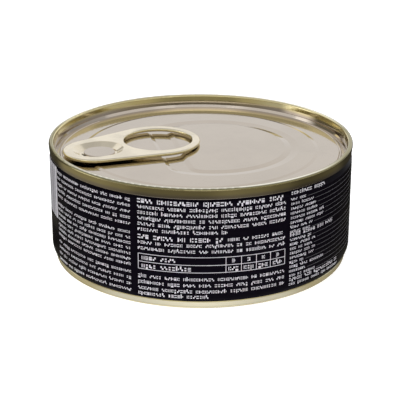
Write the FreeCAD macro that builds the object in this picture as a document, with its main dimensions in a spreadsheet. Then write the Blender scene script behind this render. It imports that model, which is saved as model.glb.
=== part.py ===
import FreeCAD, Part
import math
import os
import Sketcher

# A drawn two-piece steel can of pet food with a full-aperture easy-open end, shut and full.
# The origin is on the axis at the plane of the foot, Z points up, and lengths are in millimetres.
# Three pieces: the drawn body with its contents, the end seamed onto it, and the pull tab that
# the end's own rivet holds.  Looking from the front (-Y), the rivet is on the left.

SIZES = [
    # the body
    ("overall_height", 30.2, "foot to the crest of the seam"),
    ("body_diameter", 75.8, "outside of the wall"),
    ("neck_inset", 0.8, "how far the neck draws in under the seam"),
    ("neck_height", 0.45, "straight part of the neck"),
    ("shoulder_height", 0.85, "slope from the neck out to the wall"),
    # its foot
    ("print_edge_height", 2.0, "lower edge of the print above the foot"),
    ("print_edge_inset", 0.75, "how far the wall has curved in at that edge"),
    ("heel_radius", 3.4, "curve of the wall in towards the foot"),
    ("foot_groove_depth", 0.22, "fine groove between the print and the foot bead"),
    ("foot_groove_height", 0.3, "height of that groove"),
    ("foot_bead_inset", 0.9, "side of the foot bead, in from the wall"),
    ("foot_rounding", 0.75, "outer rounding of the foot bead"),
    ("foot_land", 0.7, "flat ring that the can stands on"),
    ("foot_slope", 1.1, "width of the slope from the land up to the bottom"),
    ("bottom_rise", 1.6, "bottom panel above the foot"),
    ("bottom_bead_inset", 14.4, "ring where the bottom panel steps down, in from the wall"),
    ("bottom_bead_depth", 0.4, "height of that step"),
    ("bottom_bead_slope", 0.7, "width of that step"),
    # the double seam
    ("seam_overhang", 0.1, "how far the seam stands out past the wall"),
    ("seam_height", 2.8, "length of the seam"),
    ("seam_thickness", 1.3, "outside of the seam to the chuck wall"),
    ("seam_draft", 0.2, "how far the seam's lower edge draws in"),
    ("crest_flat", 0.12, "flat top of the crest between its two roundings"),
    ("seam_edge_rounding", 0.35, "rounding of the seam's lower edge"),
    ("seam_clearance", 0.03, "gap between the chuck wall and the neck round it"),
    # the recessed end
    ("sheet_thickness", 0.25, "tinplate of the end"),
    ("chuck_wall_draft", 0.27, "how far the chuck wall leans in"),
    ("chuck_bend_depth", 1.45, "crest to the bend, above which the chuck wall leans more"),
    ("chuck_bend_draft", 0.17, "how far it leans in down to that bend"),
    ("chuck_foot_rise", 0.7, "foot of the chuck wall above the bottom of the groove"),
    ("countersink_width", 1.35, "foot of the chuck wall to the ledge"),
    ("countersink_slope", 0.32, "width of each side of the groove"),
    ("ledge_depth", 3.0, "crest to the ledge that carries the score"),
    ("countersink_drop", 0.4, "ledge to the bottom of the countersink groove"),
    ("ledge_width", 5.48, "ledge, from its edge in to the panel"),
    ("score_inset", 0.35, "score line, in from the edge of the ledge"),
    ("score_width", 0.3, "score line across"),
    ("score_cut", 0.12, "score line deep"),
    ("panel_step", 0.15, "height of that step"),
    ("panel_step_slope", 0.9, "width of that step"),
    # the finger recess: round, with one straight side under the tab's ring
    ("recess_shift", 3.0, "its middle, from the axis of the can, away from the rivet"),
    ("recess_margin", 4.8, "its rim, in from the edge of the panel"),
    ("recess_reach", 14.6, "its straight side, from the rivet"),
    ("recess_corner", 6.0, "corners between the two"),
    ("recess_depth", 0.2, "depth below the panel"),
    ("recess_round_slope", 2.0, "width of the slope along the round side"),
    ("recess_straight_slope", 0.9, "width of the slope along the straight side"),
    # the raised panel inside the recess, which meets a fingertip
    ("pad_gap", 4.0, "floor of the recess between its straight side and the raised panel"),
    ("pad_rise", 0.3, "raised panel above the floor of the recess"),
    ("pad_round_slope", 1.6, "width of its slope along the round side"),
    ("pad_straight_slope", 1.2, "width of its slope along the straight side"),
    # the rivet, formed from the end
    ("rivet_inset", 9.42, "rivet, in from the edge of the ledge"),
    ("rivet_bearing", 192.0, "direction of the rivet, degrees from +X"),
    ("rivet_head_diameter", 7.8, "flattened head"),
    ("rivet_head_thickness", 0.3, "height of the head"),
    ("rivet_head_rounding", 0.14, "rounding of its edge"),
    ("rivet_stem_diameter", 4.8, "stem through the tab"),
    ("rivet_clearance", 0.08, "gap around the stem"),
    # the pull tab
    ("tab_bearing", 28.4, "direction of the tab's ring, degrees from +X"),
    ("tab_length", 35.9, "nose to the far side of the ring"),
    ("ring_end_wall", 1.98, "finger ring at its far side, where it is narrowest"),
    ("ring_side_wall", 2.5, "finger ring at its sides"),
    ("bridge_reach", 7.62, "middle of the rivet to the near side of the finger hole"),
    ("nose_diameter", 16.4, "rounding of the nose"),
    ("nose_reach", 9.1, "nose to the middle of the rivet"),
    ("hem_thickness", 0.95, "curled edge of the tab, top to bottom"),
    ("hem_flat", 0.07, "flat of its outer side between the two roundings"),
    ("hem_lift", 0.38, "underside of the curled edge above the panel"),
    ("web_thickness", 0.3, "sheet that the rivet clamps"),
    ("dish_length", 12.9, "dish around the rivet, along the tab"),
    ("dish_width", 11.4, "dish around the rivet, across the tab"),
    ("dish_shift", -0.3, "middle of the dish, from the rivet towards the ring"),
    ("dish_slope", 1.75, "width of the dish's sloping wall"),
    ("dish_rounding", 0.5, "rounding of the dish's rim"),
    ("slit_offset", 4.25, "slits beside the rivet's head, from its middle"),
    ("slit_length", 2.2, "slits across the tab"),
    ("slit_width", 0.4, "slits along the tab"),
]


class Length:
    """A size: its value now, and the text that gives it from the sheet."""

    def __init__(self, value, text):
        self.value = float(value)
        self.text = text

    def combined(self, other, sign, value):
        text = other.text if isinstance(other, Length) else repr(other)
        return Length(value, f"({self.text} {sign} {text})")

    def __add__(self, other):
        return self.combined(other, "+", self.value + number(other))

    def __sub__(self, other):
        return self.combined(other, "-", self.value - number(other))

    def __mul__(self, other):
        return self.combined(other, "*", self.value * number(other))

    def __truediv__(self, other):
        return self.combined(other, "/", self.value / number(other))


def number(value):
    return value.value if isinstance(value, Length) else float(value)


def make_sheet(document):
    """The driving dimensions, one to a row; each can be changed by itself."""
    sheet = document.addObject("Spreadsheet::Sheet", "Sizes")
    for row, (alias, value, meaning) in enumerate(SIZES, start=1):
        sheet.set(f"A{row}", alias)
        sheet.set(f"B{row}", str(value))
        sheet.set(f"C{row}", meaning)
        sheet.setAlias(f"B{row}", alias)
    document.recompute()
    return {alias: Length(sheet.get(alias), f"Sizes.{alias}") for alias, _, _ in SIZES}


ZERO = Length(0, "0")
LEFT, RIGHT = 1, -1
START, END, CENTRE = 1, 2, 3
HORIZONTAL_AXIS, VERTICAL_AXIS = -1, -2


# ---------------------------------------------------------------- sketches

def new_sketch(body, name, plane, level=None):
    """A sketch on one of the body's own planes, or raised above it to a level."""
    sketch = body.newObject("Sketcher::SketchObject", name)
    support = [item for item in body.Origin.OriginFeatures if item.Role == plane][0]
    sketch.AttachmentSupport = (support, [""])
    sketch.MapMode = "FlatFace"
    if level is not None:
        sketch.setExpression("AttachmentOffset.Base.z", level.text)
    return sketch


def bind(sketch, constraint, length):
    index = sketch.addConstraint(constraint)
    sketch.setExpression(f"Constraints[{index}]", length.text)


def pin(sketch, edge, position, across, up):
    """Holds a point of the sketch at its distances from the two axes."""
    if across is ZERO:
        sketch.addConstraint(Sketcher.Constraint("PointOnObject", edge, position, VERTICAL_AXIS))
    else:
        bind(sketch, Sketcher.Constraint("DistanceX", edge, position, across.value), across)
    if up is ZERO:
        sketch.addConstraint(Sketcher.Constraint("PointOnObject", edge, position, HORIZONTAL_AXIS))
    else:
        bind(sketch, Sketcher.Constraint("DistanceY", edge, position, up.value), up)


def arc_between(first, last, radius, turn):
    """The short arc of a radius from first to last, turning LEFT (anticlockwise) or RIGHT."""
    chord = last - first
    middle = (first + last) * 0.5
    rise = math.sqrt(max(radius ** 2 - (chord.Length / 2) ** 2, 0.0))
    inward = FreeCAD.Vector(-chord.y, chord.x, 0).normalize() * turn
    centre = middle + inward * rise
    begin, end = (first, last) if turn == LEFT else (last, first)
    angles = [math.atan2(point.y - centre.y, point.x - centre.x) for point in (begin, end)]
    circle = Part.Circle(centre, FreeCAD.Vector(0, 0, 1), radius)
    return Part.ArcOfCircle(circle, angles[0], angles[1])


def draw_outline(sketch, corners):
    """A closed outline.  A corner is (across, up) with a straight edge after it, or
    (across, up, radius, turn) with an arc after it."""
    points = [FreeCAD.Vector(corner[0].value, corner[1].value, 0) for corner in corners]
    ends = []
    for place, corner in enumerate(corners):
        first, last = points[place], points[(place + 1) % len(points)]
        if len(corner) == 2:
            edge = sketch.addGeometry(Part.LineSegment(first, last), False)
            ends.append((edge, START, END))
        else:
            radius, turn = corner[2:]
            edge = sketch.addGeometry(arc_between(first, last, radius.value, turn), False)
            ends.append((edge, START, END) if turn == LEFT else (edge, END, START))
    for place, corner in enumerate(corners):
        edge, first, _ = ends[place]
        before, _, last = ends[place - 1]
        sketch.addConstraint(Sketcher.Constraint("Coincident", before, last, edge, first))
    for place, corner in enumerate(corners):
        edge, first, _ = ends[place]
        pin(sketch, edge, first, corner[0], corner[1])
        if len(corner) > 2:
            bind(sketch, Sketcher.Constraint("Radius", edge, corner[2].value), corner[2])


def draw_circle(sketch, across, up, diameter):
    centre = FreeCAD.Vector(across.value, up.value, 0)
    circle = Part.Circle(centre, FreeCAD.Vector(0, 0, 1), diameter.value / 2)
    edge = sketch.addGeometry(circle, False)
    pin(sketch, edge, CENTRE, across, up)
    bind(sketch, Sketcher.Constraint("Diameter", edge, diameter.value), diameter)


def join_tangent(sketch, chain):
    """Makes each edge of a closed chain run smoothly into the next."""
    for place, (edge, _, last) in enumerate(chain):
        following, first, _ = chain[(place + 1) % len(chain)]
        sketch.addConstraint(Sketcher.Constraint("Tangent", edge, last, following, first))


def draw_egg(sketch, left, left_diameter, right, right_diameter):
    """Two circles on the horizontal axis, with the straight tangents that wrap them."""
    span = right.value - left.value
    lean = math.acos((left_diameter.value - right_diameter.value) / 2 / span)
    up = FreeCAD.Vector(0, 0, 1)

    def arc(centre, diameter, begin, end):
        circle = Part.Circle(FreeCAD.Vector(centre.value, 0, 0), up, diameter.value / 2)
        return sketch.addGeometry(Part.ArcOfCircle(circle, begin, end), False)

    def touch(centre, diameter, angle):
        reach = diameter.value / 2
        across = centre.value + reach * math.cos(angle)
        return FreeCAD.Vector(across, reach * math.sin(angle), 0)

    def tangent(begin, end, angle):
        line = Part.LineSegment(touch(*begin, angle), touch(*end, angle))
        return sketch.addGeometry(line, False)

    right_arc = arc(right, right_diameter, -lean, lean)
    upper = tangent((right, right_diameter), (left, left_diameter), lean)
    left_arc = arc(left, left_diameter, lean, 2 * math.pi - lean)
    lower = tangent((left, left_diameter), (right, right_diameter), -lean)
    join_tangent(sketch, [(edge, START, END) for edge in (right_arc, upper, left_arc, lower)])
    for edge, across, diameter in (
        (right_arc, right, right_diameter),
        (left_arc, left, left_diameter),
    ):
        pin(sketch, edge, CENTRE, across, ZERO)
        bind(sketch, Sketcher.Constraint("Radius", edge, diameter.value / 2), diameter / 2)


def draw_cut_circle(sketch, radius, chord, corner):
    """A circle about the origin, cut off straight at a chord, with rounded corners."""
    up = FreeCAD.Vector(0, 0, 1)
    centre_x = chord.value - corner.value
    centre_y = math.sqrt((radius.value - corner.value) ** 2 - centre_x ** 2)
    turn = math.atan2(centre_y, centre_x)
    circle = Part.Circle(FreeCAD.Vector(0, 0, 0), up, radius.value)
    upper_circle = Part.Circle(FreeCAD.Vector(centre_x, centre_y, 0), up, corner.value)
    lower_circle = Part.Circle(FreeCAD.Vector(centre_x, -centre_y, 0), up, corner.value)
    top, bottom = (FreeCAD.Vector(chord.value, side * centre_y, 0) for side in (1, -1))
    edges = [
        Part.ArcOfCircle(circle, turn, 2 * math.pi - turn),
        Part.ArcOfCircle(lower_circle, -turn, 0),
        Part.LineSegment(bottom, top),
        Part.ArcOfCircle(upper_circle, 0, turn),
    ]
    chain = [(sketch.addGeometry(edge, False), START, END) for edge in edges]
    join_tangent(sketch, chain)
    round_side, lower_corner, straight, upper_corner = (edge for edge, _, _ in chain)
    pin(sketch, round_side, CENTRE, ZERO, ZERO)
    bind(sketch, Sketcher.Constraint("Radius", round_side, radius.value), radius)
    sketch.addConstraint(Sketcher.Constraint("Vertical", straight))
    bind(sketch, Sketcher.Constraint("DistanceX", straight, START, chord.value), chord)
    for edge in (lower_corner, upper_corner):
        bind(sketch, Sketcher.Constraint("Radius", edge, corner.value), corner)


# ---------------------------------------------------------------- features

def revolve(body, name, sketch, axis="V_Axis"):
    feature = body.newObject("PartDesign::Revolution", name)
    feature.Profile = sketch
    feature.ReferenceAxis = (sketch, [axis])
    feature.Angle = 360
    return feature


def pad(body, name, sketch, length):
    feature = body.newObject("PartDesign::Pad", name)
    feature.Profile = sketch
    feature.setExpression("Length", length.text)
    return feature


def pocket(body, name, sketch, depth):
    """Cuts down from the sketch; a cut that takes nothing away is an error."""
    body.Document.recompute()
    before = body.Shape.Volume
    feature = body.newObject("PartDesign::Pocket", name)
    feature.Profile = sketch
    feature.setExpression("Length", depth.text)
    body.Document.recompute()
    if body.Shape.Volume >= before:
        raise RuntimeError(f"{name} cuts nothing")
    return feature


def loft_cut(body, name, wide, narrow):
    """Cuts a dished recess between a wide outline above and a narrow one below."""
    body.Document.recompute()
    before = body.Shape.Volume
    feature = body.newObject("PartDesign::SubtractiveLoft", name)
    feature.Profile = wide
    feature.Sections = [narrow]
    feature.Ruled = True
    body.Document.recompute()
    if body.Shape.Volume >= before:
        raise RuntimeError(f"{name} cuts nothing")
    return feature


def round_edges(body, name, base, radius, chosen):
    """Rounds the edges of a feature that the chosen test picks."""
    body.Document.recompute()
    edges = enumerate(base.Shape.Edges, start=1)
    picked = [f"Edge{place}" for place, edge in edges if chosen(edge)]
    if not picked:
        raise RuntimeError(f"{name} finds no edge")
    feature = body.newObject("PartDesign::Fillet", name)
    feature.Base = (base, picked)
    feature.setExpression("Radius", radius.text)
    return feature


# ---------------------------------------------------------------- levels shared by the pieces

class Levels:
    """Radii and heights where the pieces meet, all worked out from the sheet."""

    def __init__(self, size):
        crest = size["overall_height"]
        self.crest = crest
        self.wall = size["body_diameter"] / 2
        self.neck = self.wall - size["neck_inset"]
        self.seam_outside = self.wall + size["seam_overhang"]
        self.seam_inside = self.seam_outside - size["seam_thickness"]
        self.seam_foot = crest - size["seam_height"]
        self.chuck_foot = self.seam_inside - size["chuck_wall_draft"]
        self.ledge = crest - size["ledge_depth"]
        self.groove = self.ledge - size["countersink_drop"]
        self.under_end = self.groove - size["sheet_thickness"]
        self.end_side = self.chuck_foot + size["sheet_thickness"]
        self.neck_bore = self.end_side + size["seam_clearance"]
        self.ledge_edge = self.chuck_foot - size["countersink_width"]
        self.panel_edge = self.ledge_edge - size["ledge_width"]
        self.rivet = self.ledge_edge - size["rivet_inset"]
        self.panel = self.ledge + size["panel_step"]
        self.web_top = self.panel + size["web_thickness"]
        self.hem_underside = self.panel + size["hem_lift"]


# ---------------------------------------------------------------- the pieces

def make_body(document, size, at):
    """The drawn can, solid with its contents up to the end that closes it."""
    body = document.addObject("PartDesign::Body", "CanBody")
    body.Label = "can_body"
    profile = new_sketch(body, "BodyProfile", "XZ_Plane")
    bead_radius = at.wall - size["bottom_bead_inset"]
    step_level = size["bottom_rise"] - size["bottom_bead_depth"]
    foot_side = at.wall - size["foot_bead_inset"]
    land_outside = foot_side - size["foot_rounding"]
    land_inside = land_outside - size["foot_land"]
    bottom_edge = land_inside - size["foot_slope"]
    print_radius = at.wall - size["print_edge_inset"]
    print_level = size["print_edge_height"]
    groove_top = print_level - size["foot_groove_height"] / 3
    groove_foot = print_level - size["foot_groove_height"]
    groove_radius = foot_side - size["foot_groove_depth"]
    # where the heel's arc, tangent to the wall, starts its turn
    heel = size["heel_radius"]
    inset = size["print_edge_inset"]
    rise_square = heel * 2 * inset - inset * inset
    heel_rise = Length(math.sqrt(rise_square.value), f"sqrt({rise_square.text})")
    heel_top = print_level + heel_rise
    neck_foot = at.seam_foot - size["neck_height"]
    shoulder_foot = neck_foot - size["shoulder_height"]
    draw_outline(profile, [
        (ZERO, step_level),
        (bead_radius - size["bottom_bead_slope"], step_level),
        (bead_radius, size["bottom_rise"]),
        (bottom_edge, size["bottom_rise"]),
        (land_inside, ZERO),
        (land_outside, ZERO, size["foot_rounding"], LEFT),
        (foot_side, size["foot_rounding"]),
        (foot_side, groove_foot),
        (groove_radius, groove_top),
        (print_radius, print_level, heel, LEFT),
        (at.wall, heel_top),
        (at.wall, shoulder_foot),
        (at.neck, neck_foot),
        (at.neck, at.seam_foot),
        (at.neck_bore, at.seam_foot),
        (at.neck_bore, at.under_end),
        (ZERO, at.under_end),
    ])
    revolve(body, "BodyRevolution", profile)
    return body


def make_end(document, size, at):
    """The easy-open end: double seam, chuck wall, countersink, scored ledge, panel and rivet."""
    body = document.addObject("PartDesign::Body", "CanEnd")
    body.Label = "can_end"
    profile = new_sketch(body, "EndProfile", "XZ_Plane")
    crest_rounding = (size["seam_thickness"] - size["crest_flat"]) / 2
    crest_spring = at.crest - crest_rounding
    edge_rounding = size["seam_edge_rounding"]
    seam_lower = at.seam_outside - size["seam_draft"]
    chuck_bend = at.seam_inside - size["chuck_bend_draft"]
    chuck_level = at.groove + size["chuck_foot_rise"]
    groove_outside = at.chuck_foot - size["countersink_slope"]
    groove_inside = at.ledge_edge + size["countersink_slope"]
    score = at.ledge_edge - size["score_inset"]
    draw_outline(profile, [
        (ZERO, at.under_end),
        (at.end_side, at.under_end),
        (at.end_side, at.seam_foot),
        (seam_lower - edge_rounding, at.seam_foot, edge_rounding, LEFT),
        (seam_lower, at.seam_foot + edge_rounding),
        (at.seam_outside, crest_spring, crest_rounding, LEFT),
        (at.seam_outside - crest_rounding, at.crest),
        (at.seam_inside + crest_rounding, at.crest, crest_rounding, LEFT),
        (at.seam_inside, crest_spring),
        (chuck_bend, at.crest - size["chuck_bend_depth"]),
        (at.chuck_foot, chuck_level),
        (groove_outside, at.groove),
        (groove_inside, at.groove),
        (at.ledge_edge, at.ledge),
        (score + size["score_width"] / 2, at.ledge),
        (score, at.ledge - size["score_cut"]),
        (score - size["score_width"] / 2, at.ledge),
        (at.panel_edge, at.ledge),
        (at.panel_edge - size["panel_step_slope"], at.panel),
        (ZERO, at.panel),
    ])
    revolve(body, "EndRevolution", profile)
    cut_finger_recess(body, size, at)
    add_rivet(body, size, at)
    placement = f"{size['rivet_bearing'].text}"
    body.Placement = FreeCAD.Placement(
        FreeCAD.Vector(0, 0, 0), FreeCAD.Rotation(FreeCAD.Vector(0, 0, 1), 1)
    )
    body.setExpression("Placement.Rotation.Angle", placement)
    return body


def cut_finger_recess(body, size, at):
    """The shallow recess under the tab's ring, round with one straight side, and the raised
    panel inside it.  The end's own X axis points at the rivet."""
    radius = at.panel_edge - size["recess_shift"] - size["recess_margin"]
    chord = at.rivet - size["recess_reach"] + size["recess_shift"]
    floor = at.panel - size["recess_depth"]

    def outline(name, level, round_inset, straight_inset):
        sketch = new_sketch(body, name, "XY_Plane", level)
        base = sketch.AttachmentOffset.Base
        sketch.AttachmentOffset = FreeCAD.Placement(base, FreeCAD.Rotation())
        sketch.setExpression("AttachmentOffset.Base.x", (ZERO - size["recess_shift"]).text)
        corner = size["recess_corner"] - round_inset
        draw_cut_circle(sketch, radius - round_inset, chord - straight_inset, corner)
        return sketch

    round_side = size["recess_round_slope"]
    straight_side = size["recess_straight_slope"]
    rim = outline("RecessRim", at.panel, ZERO, ZERO)
    bottom = outline("RecessFloor", floor, round_side, straight_side)
    loft_cut(body, "FingerRecess", rim, bottom)
    pad_side = straight_side + size["pad_gap"]
    foot = outline("PadFoot", floor, round_side, pad_side)
    top = outline("PadTop", floor + size["pad_rise"], round_side + size["pad_round_slope"],
                  pad_side + size["pad_straight_slope"])
    feature = body.newObject("PartDesign::AdditiveLoft", "FingerPad")
    feature.Profile = foot
    feature.Sections = [top]
    feature.Ruled = True


def add_rivet(body, size, at):
    """The hollow rivet drawn up out of the panel, flattened over the tab's web."""
    profile = new_sketch(body, "RivetProfile", "XZ_Plane")
    middle = at.rivet
    stem = middle + size["rivet_stem_diameter"] / 2
    head = middle + size["rivet_head_diameter"] / 2
    rounding = size["rivet_head_rounding"]
    head_top = at.web_top + size["rivet_head_thickness"]
    root = at.panel - size["sheet_thickness"] / 2
    draw_outline(profile, [
        (middle, root),
        (stem, root),
        (stem, at.web_top),
        (head, at.web_top),
        (head, head_top - rounding, rounding, LEFT),
        (head - rounding, head_top),
        (middle, head_top),
    ])
    axis = Part.LineSegment(
        FreeCAD.Vector(middle.value, root.value, 0), FreeCAD.Vector(middle.value, head_top.value, 0)
    )
    line = profile.addGeometry(axis, True)
    pin(profile, line, START, middle, root)
    pin(profile, line, END, middle, head_top)
    revolve(body, "Rivet", profile, "Axis0")


def make_tab(document, size, at):
    """The pull tab: a curled hem round the nose and the finger ring, and a dished web that the
    rivet clamps.  Its own origin is on the rivet's axis at the underside of the hem, and its
    X axis runs towards the ring."""
    body = document.addObject("PartDesign::Body", "PullTab")
    body.Label = "pull_tab"
    hem = size["hem_thickness"]
    nose_middle = size["nose_diameter"] / 2 - size["nose_reach"]
    ring_end = size["tab_length"] - size["nose_reach"]
    hole_end = ring_end - size["ring_end_wall"]
    hole_diameter = hole_end - size["bridge_reach"]
    ring_diameter = hole_diameter + size["ring_side_wall"] * 2
    ring_middle = ring_end - ring_diameter / 2
    hole_middle = hole_end - hole_diameter / 2

    outline = new_sketch(body, "TabOutline", "XY_Plane")
    draw_egg(outline, nose_middle, size["nose_diameter"], ring_middle, ring_diameter)
    pad(body, "TabPlate", outline, hem)

    opening = new_sketch(body, "FingerHoleOutline", "XY_Plane", hem)
    draw_circle(opening, hole_middle, ZERO, hole_diameter)
    hole = pocket(body, "FingerHole", opening, hem)
    round_edges(body, "CurledHem", hole, (hem - size["hem_flat"]) / 2, is_level)

    # the dish: its web reaches down to the panel, below the hem
    web_underside = ZERO - size["hem_lift"]
    web_top = web_underside + size["web_thickness"]
    slope = size["dish_slope"]
    dish_rim = new_sketch(body, "DishRim", "XY_Plane", hem)
    draw_dish(dish_rim, size, ZERO + 0)
    boss = new_sketch(body, "WebOutline", "XY_Plane", web_underside)
    draw_dish(boss, size, slope - size["web_thickness"])
    pad(body, "Web", boss, size["hem_lift"] + hem / 2)
    floor = new_sketch(body, "DishFloor", "XY_Plane", web_top)
    draw_dish(floor, size, slope)
    dish = loft_cut(body, "Dish", dish_rim, floor)
    reach = (size["dish_length"] / 2 + size["dish_shift"]).value

    def on_dish_rim(edge):
        box = edge.BoundBox
        inside = box.XMax < reach + 1e-3 and box.YMax < size["dish_width"].value / 2 + 1e-3
        return is_level(edge) and abs(box.ZMax - hem.value) < 1e-6 and inside

    round_edges(body, "DishRounding", dish, size["dish_rounding"], on_dish_rim)

    stem_hole = new_sketch(body, "StemHoleOutline", "XY_Plane", web_top)
    draw_circle(stem_hole, ZERO, ZERO, size["rivet_stem_diameter"] + size["rivet_clearance"] * 2)
    pocket(body, "StemHole", stem_hole, size["web_thickness"])
    slits = new_sketch(body, "SlitOutlines", "XY_Plane", web_top)
    for side in (LEFT, RIGHT):
        draw_slit(slits, size, side)
    pocket(body, "Slits", slits, size["web_thickness"])
    place_tab(body, size, at)
    return body


def is_level(edge):
    """True of an edge that lies in one horizontal plane."""
    box = edge.BoundBox
    return box.ZLength < 1e-6


def draw_dish(sketch, size, inset):
    """The dish's oval outline, drawn in by an inset all round."""
    width = size["dish_width"] - inset * 2
    reach = (size["dish_length"] - size["dish_width"]) / 2
    draw_egg(sketch, size["dish_shift"] - reach, width, size["dish_shift"] + reach, width)


def draw_slit(sketch, size, side):
    """One short slit square to the tab, where the web is lanced beside the rivet's head."""
    near = (size["slit_offset"] - size["slit_width"] / 2) * side
    far = (size["slit_offset"] + size["slit_width"] / 2) * side
    half = size["slit_length"] / 2
    draw_outline(sketch, [
        (near, half * RIGHT),
        (far, half * RIGHT),
        (far, half),
        (near, half),
    ])


def place_tab(body, size, at):
    """Stands the tab on the rivet's axis, turned to its own bearing."""
    bearing = size["rivet_bearing"].text
    offset = at.rivet.text
    body.Placement = FreeCAD.Placement(
        FreeCAD.Vector(0, 0, 0), FreeCAD.Rotation(FreeCAD.Vector(0, 0, 1), 1)
    )
    body.setExpression("Placement.Base.x", f"{offset} * cos({bearing} * 1deg)")
    body.setExpression("Placement.Base.y", f"{offset} * sin({bearing} * 1deg)")
    body.setExpression("Placement.Base.z", at.hem_underside.text)
    body.setExpression("Placement.Rotation.Angle", size["tab_bearing"].text)


# ---------------------------------------------------------------- checks and files

def check(document, pieces):
    for item in document.Objects:
        bad = [state for state in item.State if state in ("Invalid", "Error")]
        if bad:
            raise RuntimeError(f"{item.Name} is {bad}")
    for piece in pieces:
        shape = piece.Shape
        if shape.isNull() or not shape.isValid() or len(shape.Solids) != 1:
            raise RuntimeError(f"{piece.Label} is not one valid solid")


def write(pieces):
    os.makedirs("parts", exist_ok=True)
    for piece in pieces:
        piece.Shape.exportStep(os.path.join("parts", f"{piece.Label}.step"))
        box = piece.Shape.BoundBox
        print(f"{piece.Label}: {piece.Shape.Volume / 1000:.2f} cm3, "
              f"{box.XLength:.2f} x {box.YLength:.2f} x {box.ZLength:.2f} mm")


def main():
    document = FreeCAD.newDocument("FoodCan")
    size = make_sheet(document)
    at = Levels(size)
    pieces = [maker(document, size, at) for maker in (make_body, make_end, make_tab)]
    document.recompute()
    check(document, pieces)
    write(pieces)


main()
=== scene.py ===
import math
import random

import bpy
from mathutils import Matrix, Vector


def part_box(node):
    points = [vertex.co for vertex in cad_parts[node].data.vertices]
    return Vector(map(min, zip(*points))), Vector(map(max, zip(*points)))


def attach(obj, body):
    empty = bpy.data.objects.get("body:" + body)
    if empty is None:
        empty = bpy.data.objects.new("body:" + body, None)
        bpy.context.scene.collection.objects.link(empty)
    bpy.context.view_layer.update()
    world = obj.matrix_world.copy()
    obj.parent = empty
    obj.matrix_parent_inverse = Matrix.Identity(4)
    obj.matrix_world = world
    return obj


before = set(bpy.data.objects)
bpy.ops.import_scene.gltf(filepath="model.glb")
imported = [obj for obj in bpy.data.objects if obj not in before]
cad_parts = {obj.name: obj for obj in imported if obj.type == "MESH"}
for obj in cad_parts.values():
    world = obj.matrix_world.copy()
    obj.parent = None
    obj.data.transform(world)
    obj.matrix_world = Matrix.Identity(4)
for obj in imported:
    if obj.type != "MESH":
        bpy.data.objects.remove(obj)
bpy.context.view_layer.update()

# A shut can of pet food, 76 mm across: black printed wall, gold seam, easy-open end and pull tab.
# All lengths are in metres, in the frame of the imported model: +Z up, the camera on the -Y side.

MM = 0.001
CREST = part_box("can_end")[1].z
WALL_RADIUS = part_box("can_body")[1].x
SEAM_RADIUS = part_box("can_end")[1].x


# ---------------------------------------------------------------- node helpers

class Nodes:
    """The node tree of a material or a world, with short calls for the nodes used here."""

    def __init__(self, owner, output="ShaderNodeOutputMaterial"):
        self.owner = owner
        owner.use_nodes = True
        self.tree = owner.node_tree
        self.tree.nodes.clear()
        self.output = self.add(output)

    def add(self, kind, **settings):
        node = self.tree.nodes.new(kind)
        for key, value in settings.items():
            setattr(node, key, value)
        return node

    def feed(self, socket, value):
        """Links an output to a socket, or sets the socket's own value."""
        if isinstance(value, bpy.types.NodeSocket):
            self.tree.links.new(value, socket)
        elif isinstance(value, tuple) and len(value) == 3 and socket.type == "RGBA":
            socket.default_value = (*value, 1.0)
        else:
            socket.default_value = value

    def math(self, operation, first, second):
        node = self.add("ShaderNodeMath", operation=operation)
        self.feed(node.inputs[0], first)
        self.feed(node.inputs[1], second)
        return node.outputs[0]

    def ramp(self, value, low, high, out_low=0.0, out_high=1.0):
        """A value mapped from low..high to out_low..out_high, smoothly and clamped."""
        node = self.add("ShaderNodeMapRange", interpolation_type="SMOOTHSTEP")
        for socket, number in zip(node.inputs, (value, low, high, out_low, out_high)):
            self.feed(socket, number)
        return node.outputs[0]

    def mix(self, factor, first, second):
        """A colour between two: the first at a factor of 0, the second at 1."""
        node = self.add("ShaderNodeMix", data_type="RGBA")
        self.feed(node.inputs[0], factor)
        self.feed(node.inputs[6], first)
        self.feed(node.inputs[7], second)
        return node.outputs[2]

    def position(self):
        return self.add("ShaderNodeNewGeometry").outputs["Position"]

    def normal(self):
        return self.add("ShaderNodeNewGeometry").outputs["Normal"]

    def split(self, vector):
        node = self.add("ShaderNodeSeparateXYZ")
        self.feed(node.inputs[0], vector)
        return node.outputs

    def join(self, x, y, z):
        node = self.add("ShaderNodeCombineXYZ")
        for socket, value in zip(node.inputs, (x, y, z)):
            self.feed(socket, value)
        return node.outputs[0]

    def reach(self, x, y):
        """How far a point is from the can's axis."""
        squares = self.math("ADD", self.math("MULTIPLY", x, x), self.math("MULTIPLY", y, y))
        return self.math("POWER", squares, 0.5)

    def noise(self, vector, scale, detail=3.0, roughness=0.5):
        node = self.add("ShaderNodeTexNoise")
        self.feed(node.inputs["Vector"], vector)
        self.feed(node.inputs["Scale"], scale)
        self.feed(node.inputs["Detail"], detail)
        self.feed(node.inputs["Roughness"], roughness)
        return node.outputs["Fac"]

    def bump(self, height, distance, strength):
        node = self.add("ShaderNodeBump")
        self.feed(node.inputs["Height"], height)
        self.feed(node.inputs["Distance"], distance)
        self.feed(node.inputs["Strength"], strength)
        return node.outputs[0]

    def background_rays(self):
        """1 for the rays that show the background, which are the camera's and the mirrored ones, else 0."""
        path = self.add("ShaderNodeLightPath")
        seen = self.math("MAXIMUM", path.outputs["Is Camera Ray"], path.outputs["Is Glossy Ray"])
        return self.math("MAXIMUM", seen, path.outputs["Is Transmission Ray"])

    def show(self, shader):
        self.tree.links.new(shader.outputs[0], self.output.inputs["Surface"])
        return self.owner

    def surface(self, **inputs):
        """A principled surface; its inputs are named with _ for a space."""
        shader = self.add("ShaderNodeBsdfPrincipled")
        for name, value in inputs.items():
            self.feed(shader.inputs[name.replace("_", " ")], value)
        return self.show(shader)


def new_nodes(name):
    return Nodes(bpy.data.materials.new(name))


def darker(colour, share):
    return tuple(channel * share for channel in colour)


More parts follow.
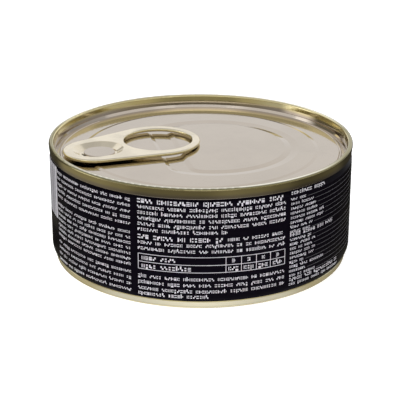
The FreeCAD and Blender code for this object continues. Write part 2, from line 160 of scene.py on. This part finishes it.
# Streaks of the rolled sheet for each metre, along them and across them.
STREAKS_ALONG, STREAKS_ACROSS = 40.0, 2500.0


def rolled_grain(nodes, position, along):
    """Fine streaks of rolled tinplate; along is their direction on the sheet, in radians."""
    x, y, _ = nodes.split(position)
    turned_x = nodes.math(
        "ADD", nodes.math("MULTIPLY", x, math.cos(along)), nodes.math("MULTIPLY", y, math.sin(along))
    )
    turned_y = nodes.math(
        "SUBTRACT", nodes.math("MULTIPLY", y, math.cos(along)), nodes.math("MULTIPLY", x, math.sin(along))
    )
    stretched = nodes.join(
        nodes.math("MULTIPLY", turned_x, STREAKS_ALONG), nodes.math("MULTIPLY", turned_y, STREAKS_ACROSS), 0.0
    )
    return nodes.noise(stretched, scale=1.0, detail=4.0, roughness=0.6)


# ---------------------------------------------------------------- finishes

# Base colours, linear. The seam's crest carries painted light: a painted highlight in front, painted shade at
# the sides and a pale painted reflection at the back; the same painted shade lies on a band of its outer
# shoulder.
PANEL = (0.50, 0.44, 0.375)
GOLD = (0.74, 0.645, 0.36)
# Painted light on the seam, in this order: painted shade, a pale painted reflection and a painted highlight.
PAINTED_SHADE_EDGE = (0.28, 0.25, 0.13)
PAINTED_PALE_REFLECTION_EDGE = (0.80, 0.76, 0.60)
PAINTED_HIGHLIGHT_EDGE = (0.98, 0.94, 0.82)
FOOT = (0.84, 0.78, 0.58)
# Painted shade: the colour the foot darkens to at the table.
FOOT_PAINTED_SHADE = (0.58, 0.52, 0.32)
TAB = (0.80, 0.72, 0.57)
# Painted reflection: the yellower colour of the tab's steep sides.
TAB_SIDE_PAINTED_REFLECTION = (0.83, 0.73, 0.42)
INK = (0.004, 0.003, 0.006)
WHITE_INK = (0.76, 0.74, 0.79)
GREY_INK = (0.20, 0.20, 0.21)

# Where the finishes change: heights, distances from the axis, and y, which is below 0 in front of the axis.
RIM_LOW, RIM_HIGH = CREST - 2.4 * MM, CREST - 1.2 * MM
RIM_NEAR, RIM_FAR = 34.8 * MM, 35.4 * MM
# The bands and y limits below place the painted highlight, painted shade and pale painted reflection on the
# seam.
CREST_LOW, CREST_HIGH = CREST - 0.16 * MM, CREST - 0.08 * MM
SHOULDER_LOW, SHOULDER_HIGH = CREST - 0.50 * MM, CREST - 0.38 * MM
OUTER_NEAR, OUTER_FAR = SEAM_RADIUS - 0.85 * MM, SEAM_RADIUS - 0.55 * MM
BRIGHT_UP_TO, BRIGHT_ENDS = -34.0 * MM, -12.0 * MM
PALE_FROM, PALE_ALL = 4.0 * MM, 20.0 * MM
PRINT_EDGE = 2.0 * MM
EDGE_BLUR, EDGE_WAVER = 0.03 * MM, 0.08 * MM
# The foot's painted shade fades out between these two heights.
FOOT_SHADE_LOW, FOOT_SHADE_HIGH = 0.1 * MM, 1.0 * MM
GRAIN_TURN = 0.5


def end_finish():
    """Clear lacquer on the panel and gold on the seam, with painted light on the seam: a painted highlight on
    the front of the crest, painted shade at its sides and on its outer shoulder, and a pale painted
    reflection at its back.
    """
    nodes = new_nodes("lacquered_end")
    position = nodes.position()
    x, y, z = nodes.split(position)
    reach = nodes.reach(x, y)
    rim = nodes.math("MINIMUM", nodes.ramp(z, RIM_LOW, RIM_HIGH), nodes.ramp(reach, RIM_NEAR, RIM_FAR))
    mottle = nodes.noise(position, scale=90.0, detail=4.0, roughness=0.6)
    panel = nodes.mix(nodes.ramp(mottle, 0.35, 0.7), PANEL, darker(PANEL, 0.95))
    colour = nodes.mix(rim, panel, GOLD)
    outer = nodes.ramp(reach, OUTER_NEAR, OUTER_FAR)
    # Painted shade: a dark band on the seam's outer slope just below the crest.
    shoulder = nodes.math("MULTIPLY", outer, nodes.ramp(z, SHOULDER_LOW, SHOULDER_HIGH))
    colour = nodes.mix(shoulder, colour, PAINTED_SHADE_EDGE)
    # Painted highlight on the front of the crest, painted shade at its sides and a pale painted reflection at
    # its back, all set by y.
    painted_highlight = nodes.math("MULTIPLY", outer, nodes.ramp(y, BRIGHT_UP_TO, BRIGHT_ENDS, 1.0, 0.0))
    edge = nodes.mix(nodes.ramp(y, PALE_FROM, PALE_ALL), PAINTED_SHADE_EDGE, PAINTED_PALE_REFLECTION_EDGE)
    edge = nodes.mix(painted_highlight, edge, PAINTED_HIGHLIGHT_EDGE)
    colour = nodes.mix(nodes.ramp(z, CREST_LOW, CREST_HIGH), colour, edge)
    grain = rolled_grain(nodes, position, GRAIN_TURN)
    roughness = nodes.ramp(grain, 0.3, 0.7, 0.05, 0.11)
    normal = nodes.bump(grain, 0.0006 * MM, 0.5)
    return nodes.surface(Base_Color=colour, Metallic=1.0, Roughness=roughness, Normal=normal)


def tab_finish():
    """Satin gold lacquer, a little uneven, with a yellower painted reflection on the steep sides of the hem.
    """
    nodes = new_nodes("lacquered_tab")
    position = nodes.position()
    mottle = nodes.noise(position, scale=150.0, detail=3.0, roughness=0.55)
    top = nodes.mix(nodes.ramp(mottle, 0.35, 0.65), TAB, darker(TAB, 0.88))
    _, _, upward = nodes.split(nodes.normal())
    # Painted reflection: faces that turn sideways get the yellower colour.
    colour = nodes.mix(nodes.ramp(upward, 0.15, 0.8), TAB_SIDE_PAINTED_REFLECTION, top)
    grain = nodes.noise(position, scale=2500.0, detail=3.0)
    roughness = nodes.ramp(mottle, 0.3, 0.7, 0.13, 0.20)
    normal = nodes.bump(grain, 0.002 * MM, 0.4)
    return nodes.surface(Base_Color=colour, Metallic=1.0, Roughness=roughness, Normal=normal)


def body_finish():
    """Black print over the drawn wall; the foot below its edge is bare gold lacquer, darkened towards the
    table by painted shade.
    """
    nodes = new_nodes("printed_body")
    position = nodes.position()
    _, _, z = nodes.split(position)
    waver = nodes.math("SUBTRACT", nodes.noise(position, scale=400.0, detail=2.0), 0.5)
    level = nodes.math("ADD", z, nodes.math("MULTIPLY", waver, EDGE_WAVER))
    printed = nodes.ramp(level, PRINT_EDGE - EDGE_BLUR, PRINT_EDGE + EDGE_BLUR)
    # Painted shade: the bare foot darkens towards the table.
    foot = nodes.mix(nodes.ramp(z, FOOT_SHADE_LOW, FOOT_SHADE_HIGH), FOOT_PAINTED_SHADE, FOOT)
    colour = nodes.mix(printed, foot, INK)
    metallic = nodes.math("SUBTRACT", 1.0, printed)
    rubbed = nodes.noise(position, scale=60.0, detail=5.0, roughness=0.65)
    rougher = nodes.math("MULTIPLY", printed, 0.08)
    roughness = nodes.math("ADD", nodes.ramp(rubbed, 0.3, 0.7, 0.10, 0.18), rougher)
    peel = nodes.noise(position, scale=900.0, detail=2.0)
    normal = nodes.bump(peel, 0.003 * MM, 0.4)
    return nodes.surface(
        Base_Color=colour, Metallic=metallic, Roughness=roughness, Normal=normal, Specular_IOR_Level=0.02
    )


def ink_finish(name, ink):
    """Printed ink with a fine grain."""
    nodes = new_nodes(name)
    grain = nodes.noise(nodes.position(), scale=5000.0, detail=2.0)
    colour = nodes.mix(nodes.ramp(grain, 0.35, 0.65), ink, darker(ink, 0.8))
    normal = nodes.bump(grain, 0.004 * MM, 0.3)
    return nodes.surface(Base_Color=colour, Roughness=0.35, Normal=normal, Specular_IOR_Level=0.1)


def plain_object(name, vertices, faces, material):
    mesh = bpy.data.meshes.new(name)
    mesh.from_pydata(vertices, [], faces)
    mesh.materials.append(material)
    obj = bpy.data.objects.new(name, mesh)
    bpy.context.collection.objects.link(obj)
    return obj


# ---------------------------------------------------------------- print

# Places on the wall are bearings in degrees, 0 at the front and positive to the right, and heights in mm.
DEGREE = math.radians(1.0) * WALL_RADIUS / MM
PRINT_ROOT = WALL_RADIUS - 0.04 * MM
PRINT_FACE = WALL_RADIUS + 0.02 * MM
LONGEST_FACET = 1.0

# Each mark is a few strokes in a cell of width 1 and height 1: left, low, right, high.
THIN = 0.27
MARKS = (
    ((0, 0, THIN, 1), (1 - THIN, 0, 1, 1)),
    ((0, 0, 1, THIN), (0, 1 - THIN, 1, 1)),
    ((0, 0, 0.45, 1), (0.7, 0.3, 1, 0.7)),
    ((0, 0, 1, 0.2), (0, 0.4, 1, 0.6), (0, 0.8, 1, 1)),
    ((0, 0.5, 0.5, 1), (0.5, 0, 1, 0.5)),
    ((0, 0, 0.5, 0.5), (0.5, 0.5, 1, 1)),
    ((0, 0, THIN, 1), (0.55, 0, 1, 0.3), (0.55, 0.7, 1, 1)),
    ((0.2, 0, 0.8, 0.35), (0.2, 0.65, 0.8, 1)),
)
# The filled share of a cell's width; how many marks stand out of their row, how far, and how many of those
# hang below it; and after how many marks the first gap and each next one come.
FILLED = 0.78
TALL_SHARE = 0.2
TALL_BY = 0.35
HANGING_SHARE = 0.4
FIRST_GAP = (3, 9)
NEXT_GAP = (3, 11)


class Print:
    """Marks that lie on the wall, as thin closed strips bent around it."""

    def __init__(self, name):
        self.name = name
        self.vertices = []
        self.faces = []

    def strip(self, left, right, low, high):
        steps = max(1, math.ceil((right - left) * DEGREE / LONGEST_FACET))
        first = len(self.vertices)
        for step in range(steps + 1):
            turn = math.radians(left + (right - left) * step / steps - 90.0)
            for radius in (PRINT_ROOT, PRINT_FACE):
                for height in (low, high):
                    self.vertices.append((radius * math.cos(turn), radius * math.sin(turn), height * MM))
        for near in range(first, first + 4 * steps, 4):
            far = near + 4
            self.faces += [
                (near + 2, far + 2, far + 3, near + 3),
                (near, near + 1, far + 1, far),
                (near, far, far + 2, near + 2),
                (near + 1, near + 3, far + 3, far + 1),
            ]
        last = first + 4 * steps
        self.faces += [(first, first + 2, first + 3, first + 1), (last, last + 1, last + 3, last + 2)]

    def row(self, left, right, level, height, advance):
        """A row of words, filled from one bearing to another; level is the foot of the marks."""
        cells = max(2, round((right - left) * DEGREE / advance))
        cell = (right - left) / cells
        gap = rng.randint(*FIRST_GAP)
        for place in range(cells):
            if place == gap and place < cells - 2:
                gap += rng.randint(*NEXT_GAP)
                continue
            start = left + place * cell
            tall = TALL_BY * height if rng.random() < TALL_SHARE else 0.0
            drop = tall if rng.random() < HANGING_SHARE else 0.0
            for index, (x_low, z_low, x_high, z_high) in enumerate(rng.choice(MARKS)):
                grown = tall if index == 0 else 0.0
                sunk = drop if index == 0 else 0.0
                self.strip(
                    start + x_low * cell * FILLED,
                    start + x_high * cell * FILLED,
                    level + z_low * height - sunk,
                    level + z_high * height + grown - sunk,
                )

    def finish(self, material):
        piece = plain_object(self.name, self.vertices, self.faces, material)
        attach(piece, "root")


rng = random.Random(73)

# The sizes of small print, each the height and the advance of a mark, and its three columns.
TEXT = (0.70, 0.72)
LEFT_TEXT = (0.56, 0.70)
HEADING = (0.98, 0.98)
SMALL = (0.54, 0.64)
SMALL_HEADING = (0.74, 0.80)
LEFT_COLUMN = (-66.0, -25.0)
MIDDLE_COLUMN = (-22.4, 31.3)
RIGHT_COLUMN = 33.3

# Paragraphs of the left and the middle column: the first row's level, the rows and their pitch.
LEFT_PARAGRAPHS = ((26.0, 5, 1.47), (17.95, 7, 1.33), (8.1, 4, 1.53))
MIDDLE_PARAGRAPHS = ((24.6, 4, 1.38), (15.9, 2, 1.46), (7.5, 3, 1.53))
# Last rows and headings of the middle column: first bearing, last bearing, level and size.
MIDDLE_SINGLES = (
    (MIDDLE_COLUMN[0], 9.5, 19.1, TEXT),
    (MIDDLE_COLUMN[0], 3.0, 3.1, TEXT),
    (MIDDLE_COLUMN[0], 30.2, 25.95, HEADING),
    (MIDDLE_COLUMN[0], 8.0, 17.2, HEADING),
    (9.5, 30.2, 17.3, TEXT),
)

# The table: its lines, its two labels (level and last bearing), and what stands in each of its cells
# (level, half the width in degrees and the advance of a mark).
TABLE_LEVELS = (13.4, 11.45, 9.6)
TABLE_BEARINGS = (-22.3, 8.9, 14.4, 19.9, 25.3, 31.2)
LINE_WIDTH = 0.13
TABLE_TEXT_HEIGHT = 0.86
LABEL_START = -21.0
LABEL_ADVANCE = 0.9
TABLE_LABELS = ((11.95, -8.5), (9.95, -3.0))
TABLE_CELLS = ((12.0, 0.6, 0.45), (10.05, 1.9, 0.84))

# The lists on the right: level of the first row, the rows and their pitch.
LISTS = ((25.05, 8, 1.16), (14.95, 9, 1.14))
# Their headings and the last note: level and last bearing.
LIST_HEADINGS = ((26.45, 50.5), (16.05, 56.5), (4.75, 61.5))
NOTE_LEVEL, NOTE_END = 3.65, 61.5
# A leader runs from just after its words, which end between two bearings, to an amount past the right edge.
WORDS_END = (39.5, 51.0)
LEADER_GAP = 0.8
LEADER_END = 90.0
LEADER_LIFT = 0.1
LEADER_WIDTH = 0.055
AMOUNT_START, AMOUNT_END = 91.0, 96.0

# The striped panel: its bearings and heights, the stripes and the gaps between them in degrees, where the
# stripes stop short of its right edge, and the broad stripe along that edge.
PANEL_SPAN = (-80.0, -66.7)
PANEL_LOW, PANEL_HIGH = 13.9, 27.2
STRIPE_WIDTHS = (0.5, 0.8, 1.2)
STRIPE_GAPS = (0.5, 0.8, 1.0)
STRIPES_STOP = 3.6
BORDER_STRIPE = 2.2


def print_text():
    page = Print("print_words")
    for top, rows, pitch in LEFT_PARAGRAPHS:
        for number in range(rows):
            page.row(*LEFT_COLUMN, top - number * pitch, *LEFT_TEXT)
    for top, rows, pitch in MIDDLE_PARAGRAPHS:
        for number in range(rows):
            page.row(*MIDDLE_COLUMN, top - number * pitch, *TEXT)
    for start, end, level, size in MIDDLE_SINGLES:
        page.row(start, end, level, *size)
    for level, end in TABLE_LABELS:
        page.row(LABEL_START, end, level, TABLE_TEXT_HEIGHT, LABEL_ADVANCE)
    for bearing, following in zip(TABLE_BEARINGS[1:], TABLE_BEARINGS[2:]):
        middle = (bearing + following) / 2
        for level, half, advance in TABLE_CELLS:
            page.row(middle - half, middle + half, level, TABLE_TEXT_HEIGHT, advance)
    for level, end in LIST_HEADINGS:
        page.row(RIGHT_COLUMN, end, level, *SMALL_HEADING)
    page.row(RIGHT_COLUMN, NOTE_END, NOTE_LEVEL, *SMALL)
    return page


def print_table():
    page = Print("print_table")
    half = LINE_WIDTH / 2
    for level in TABLE_LEVELS:
        page.strip(TABLE_BEARINGS[0], TABLE_BEARINGS[-1], level - half, level + half)
    for bearing in TABLE_BEARINGS:
        page.strip(bearing - half / DEGREE, bearing + half / DEGREE, TABLE_LEVELS[-1], TABLE_LEVELS[0])
    return page


def print_list(words):
    """Short rows on the right, each with a thin leader that runs on to an amount."""
    page = Print("print_leaders")
    for top, rows, pitch in LISTS:
        for number in range(rows):
            level = top - number * pitch
            end = rng.uniform(*WORDS_END)
            words.row(RIGHT_COLUMN, end, level, *SMALL)
            words.row(AMOUNT_START, AMOUNT_END, level, *SMALL)
            low = level + LEADER_LIFT
            page.strip(end + LEADER_GAP, LEADER_END, low, low + LEADER_WIDTH)
    return page


def print_panel():
    """A pale panel of upright stripes at the left end of the print, with a broad one at its right."""
    page = Print("print_panel")
    bearing, end = PANEL_SPAN
    while bearing < end - STRIPES_STOP:
        wide = rng.choice(STRIPE_WIDTHS)
        page.strip(bearing, bearing + wide, PANEL_LOW, PANEL_HIGH)
        bearing += wide + rng.choice(STRIPE_GAPS)
    page.strip(end - BORDER_STRIPE, end, PANEL_LOW, PANEL_HIGH)
    return page


# ---------------------------------------------------------------- stage

# The floor is white paper, part glow and part light; SHADE_LIGHT is how much the white room lights.
FLOOR_HALF = 3.0
FLOOR_GLOW = 0.80
PAPER = (0.6, 0.6, 0.6)
SHADE_LIGHT = 0.35


def floor_finish():
    """White paper: it glows to the eye and to the metal, and its shaded part stays a little darker."""
    nodes = new_nodes("white_floor")
    glow = nodes.add("ShaderNodeEmission")
    nodes.feed(glow.inputs["Strength"], nodes.math("MULTIPLY", nodes.background_rays(), FLOOR_GLOW))
    paper = nodes.add("ShaderNodeBsdfDiffuse")
    nodes.feed(paper.inputs["Color"], PAPER)
    both = nodes.add("ShaderNodeAddShader")
    nodes.feed(both.inputs[0], glow.outputs[0])
    nodes.feed(both.inputs[1], paper.outputs[0])
    return nodes.show(both)


def add_floor():
    corners = [(x * FLOOR_HALF, y * FLOOR_HALF, 0.0) for x, y in ((-1, -1), (1, -1), (1, 1), (-1, 1))]
    floor = plain_object("floor", corners, [(0, 1, 2, 3)], floor_finish())


# The studio cards: rings around the can, one above the other, a ceiling and a ring on the table.
CARD_DISTANCE = 0.8
CARD_SIDES = 96
ROOM_FOOT, ROOM_TOP = -0.02, 0.34
SOFTBOX_FOOT, SOFTBOX_TOP = 0.356, 0.54
CEILING_HALF = 1.2
CEILING_FRONT, CEILING_BACK = -1.14, 0.5
CEILING_HEIGHT = 0.8
CEILING_GLOW = 0.6
TABLE_SIDES = 48
TABLE_INNER, TABLE_OUTER = 36.5 * MM, 0.7
TABLE_LIFT = 0.4 * MM
TABLE_NEAR_ENDS, TABLE_FAR_STARTS = 48.0 * MM, 60.0 * MM

# Where a ring is dimmer than this its glow is warm, as what the real seam mirrors is.
DIM = 0.5
WARM = (1.0, 0.93, 0.70)
NEUTRAL = (1.0, 1.0, 1.0)


def card(name, corners, faces, glow_of):
    """A studio card that only reflections see: dark at a strength of 0, white at 1."""
    nodes = new_nodes(name)
    glow = nodes.add("ShaderNodeEmission")
    colour, strength = glow_of(nodes)
    nodes.feed(glow.inputs["Color"], colour)
    nodes.feed(glow.inputs["Strength"], strength)
    obj = plain_object(name, corners, faces, nodes.show(glow))
    obj.visible_camera = False
    obj.visible_diffuse = False
    obj.visible_shadow = False


# How bright the rings are by azimuth in degrees: 90 is behind the can, -90 on the camera's side.
ROOM = (
    (-180, 1.75), (-170, 1.40), (-158, 0.50), (-128, 0.42), (-114, 0.28), (-68, 0.28), (-40, 0.45),
    (0, 0.60), (38, 0.50), (58, 1.00), (106, 1.00), (122, 0.20), (158, 0.22), (174, 1.75), (180, 1.75),
)
SOFTBOX = ((-180, 1.0), (-140, 1.0), (-108, 1.6), (-72, 1.6), (-40, 1.0), (180, 1.0))
TABLE_FAR = (
    (-180, 0.26), (-157, 0.26), (-140, 0.21), (-124, 0.13), (-90, 0.13), (-73, 0.19), (-56, 0.17),
    (-40, 0.12), (-23, 0.07), (10, 0.09), (29, 0.04), (152, 0.05), (170, 0.25), (180, 0.26),
)
TABLE_NEAR = (
    (-180, 0.06), (-165, 0.33), (-140, 0.48), (-120, 0.70), (-90, 0.92), (-60, 0.66), (-40, 0.42),
    (-15, 0.26), (5, 0.04), (175, 0.04),
)


def glow_around(nodes, stops):
    """The colour of a ring of stops at the shaded point's azimuth, and the strength of its brightest."""
    x, y, _ = nodes.split(nodes.position())
    turn = nodes.math("DIVIDE", nodes.math("ARCTAN2", y, x), 2.0 * math.pi)
    around = nodes.add("ShaderNodeValToRGB")
    around.color_ramp.interpolation = "EASE"
    nodes.feed(around.inputs[0], nodes.math("ADD", turn, 0.5))
    elements = around.color_ramp.elements
    while len(elements) < len(stops):
        elements.new(0.5)
    brightest = max(strength for _, strength in stops)
    for element, (azimuth, strength) in zip(elements, stops):
        element.position = azimuth / 360.0 + 0.5
        tint = WARM if strength < DIM else NEUTRAL
        element.color = (*darker(tint, strength / brightest), 1.0)
    return around.outputs[0], brightest


def room_glow(nodes):
    return glow_around(nodes, ROOM)


def softbox_glow(nodes):
    return glow_around(nodes, SOFTBOX)


def ceiling_glow(nodes):
    return NEUTRAL, CEILING_GLOW


def table_glow(nodes):
    """Bright close in front of the can, dim farther off and at its sides."""
    x, y, _ = nodes.split(nodes.position())
    reach = nodes.reach(x, y)
    near, near_strength = glow_around(nodes, TABLE_NEAR)
    far, far_strength = glow_around(nodes, TABLE_FAR)
    away = nodes.ramp(reach, TABLE_NEAR_ENDS, TABLE_FAR_STARTS)
    strength = nodes.ramp(reach, TABLE_NEAR_ENDS, TABLE_FAR_STARTS, near_strength, far_strength)
    return nodes.mix(away, near, far), strength


def add_ring_card(name, foot, top, glow_of):
    """A ring wall around the stage between two heights."""
    corners = []
    for side in range(CARD_SIDES):
        turn = 2.0 * math.pi * side / CARD_SIDES
        for height in (foot, top):
            corners.append((CARD_DISTANCE * math.cos(turn), CARD_DISTANCE * math.sin(turn), height))
    count = len(corners)
    faces = [(side, (side + 2) % count, (side + 3) % count, side + 1) for side in range(0, count, 2)]
    card(name, corners, faces, glow_of)


def add_ceiling_card():
    spans = (
        (-CEILING_HALF, CEILING_FRONT), (CEILING_HALF, CEILING_FRONT),
        (CEILING_HALF, CEILING_BACK), (-CEILING_HALF, CEILING_BACK),
    )
    corners = [(x, y, CEILING_HEIGHT) for x, y in spans]
    card("ceiling_card", corners, [(0, 1, 2, 3)], ceiling_glow)


def add_table_card():
    """A ring on the floor around the can, just clear of it, that dims what the wall and the seam mirror."""
    steps = TABLE_SIDES
    turns = [2.0 * math.pi * step / steps for step in range(steps)]
    corners = []
    for radius in (TABLE_OUTER, TABLE_INNER):
        corners += [(radius * math.cos(turn), radius * math.sin(turn), TABLE_LIFT) for turn in turns]
    faces = [(step, (step + 1) % steps, steps + (step + 1) % steps, steps + step) for step in range(steps)]
    card("table_card", corners, faces, table_glow)


def add_world():
    """White to the eye and to the metal, and a softer light on everything else."""
    world = bpy.data.worlds.new("white_room")
    bpy.context.scene.world = world
    nodes = Nodes(world, "ShaderNodeOutputWorld")
    background = nodes.add("ShaderNodeBackground")
    nodes.feed(background.inputs["Color"], NEUTRAL)
    nodes.feed(background.inputs["Strength"], nodes.ramp(nodes.background_rays(), 0.0, 1.0, SHADE_LIGHT, 1.0))
    nodes.show(background)


def add_lamp(name, place, size, watts):
    """A round lamp aimed at the can's foot, that the metal doesn't mirror."""
    data = bpy.data.lights.new(name, "AREA")
    data.shape = "DISK"
    data.size = size
    data.energy = watts
    lamp = bpy.data.objects.new(name, data)
    lamp.visible_glossy = False
    bpy.context.collection.objects.link(lamp)
    turn = (-Vector(place)).to_track_quat("-Z", "Y")
    lamp.matrix_world = Matrix.Translation(place) @ turn.to_matrix().to_4x4()


# ---------------------------------------------------------------- camera

# Fitted to the outlines of seam, wall and foot in the photo.
SENSOR = 36.0
LENS = 119.67
SHIFT_X, SHIFT_Y = -0.00159, -0.0187
DISTANCE = 0.3388
ELEVATION = math.radians(20.613)
ROLL = 0.00237
CLIP_START = 0.01


def add_camera():
    data = bpy.data.cameras.new("camera")
    data.sensor_width = SENSOR
    data.lens = LENS
    data.shift_x = SHIFT_X
    data.shift_y = SHIFT_Y
    data.clip_start = CLIP_START
    camera = bpy.data.objects.new("camera", data)
    bpy.context.collection.objects.link(camera)
    target = Vector((0.0, 0.0, CREST / 2))
    offset = Vector((0.0, -math.cos(ELEVATION), math.sin(ELEVATION))) * DISTANCE
    turn = (-offset).to_track_quat("-Z", "Y").to_matrix().to_4x4()
    camera.matrix_world = Matrix.Translation(target + offset) @ turn @ Matrix.Rotation(ROLL, 4, "Z")
    bpy.context.scene.camera = camera


# ---------------------------------------------------------------- scene

for node, material in (("can_end", end_finish()), ("pull_tab", tab_finish()), ("can_body", body_finish())):
    for place in bpy.data.objects[node].material_slots:
        place.material = material

words = print_text()
leaders = print_list(words)
words.finish(ink_finish("white_ink", WHITE_INK))
print_table().finish(ink_finish("line_ink", WHITE_INK))
leaders.finish(ink_finish("grey_ink", GREY_INK))
print_panel().finish(ink_finish("panel_ink", WHITE_INK))

add_floor()
add_world()
add_lamp("key_lamp", place=(-0.12, -0.25, 0.85), size=0.5, watts=6.0)
add_lamp("front_lamp", place=(0.10, -0.95, 0.30), size=0.4, watts=3.2)
add_ring_card("room_card", ROOM_FOOT, ROOM_TOP, room_glow)
add_ring_card("front_softbox", SOFTBOX_FOOT, SOFTBOX_TOP, softbox_glow)
add_ceiling_card()
add_table_card()
add_camera()

view = bpy.context.scene.view_settings
view.view_transform = "Standard"
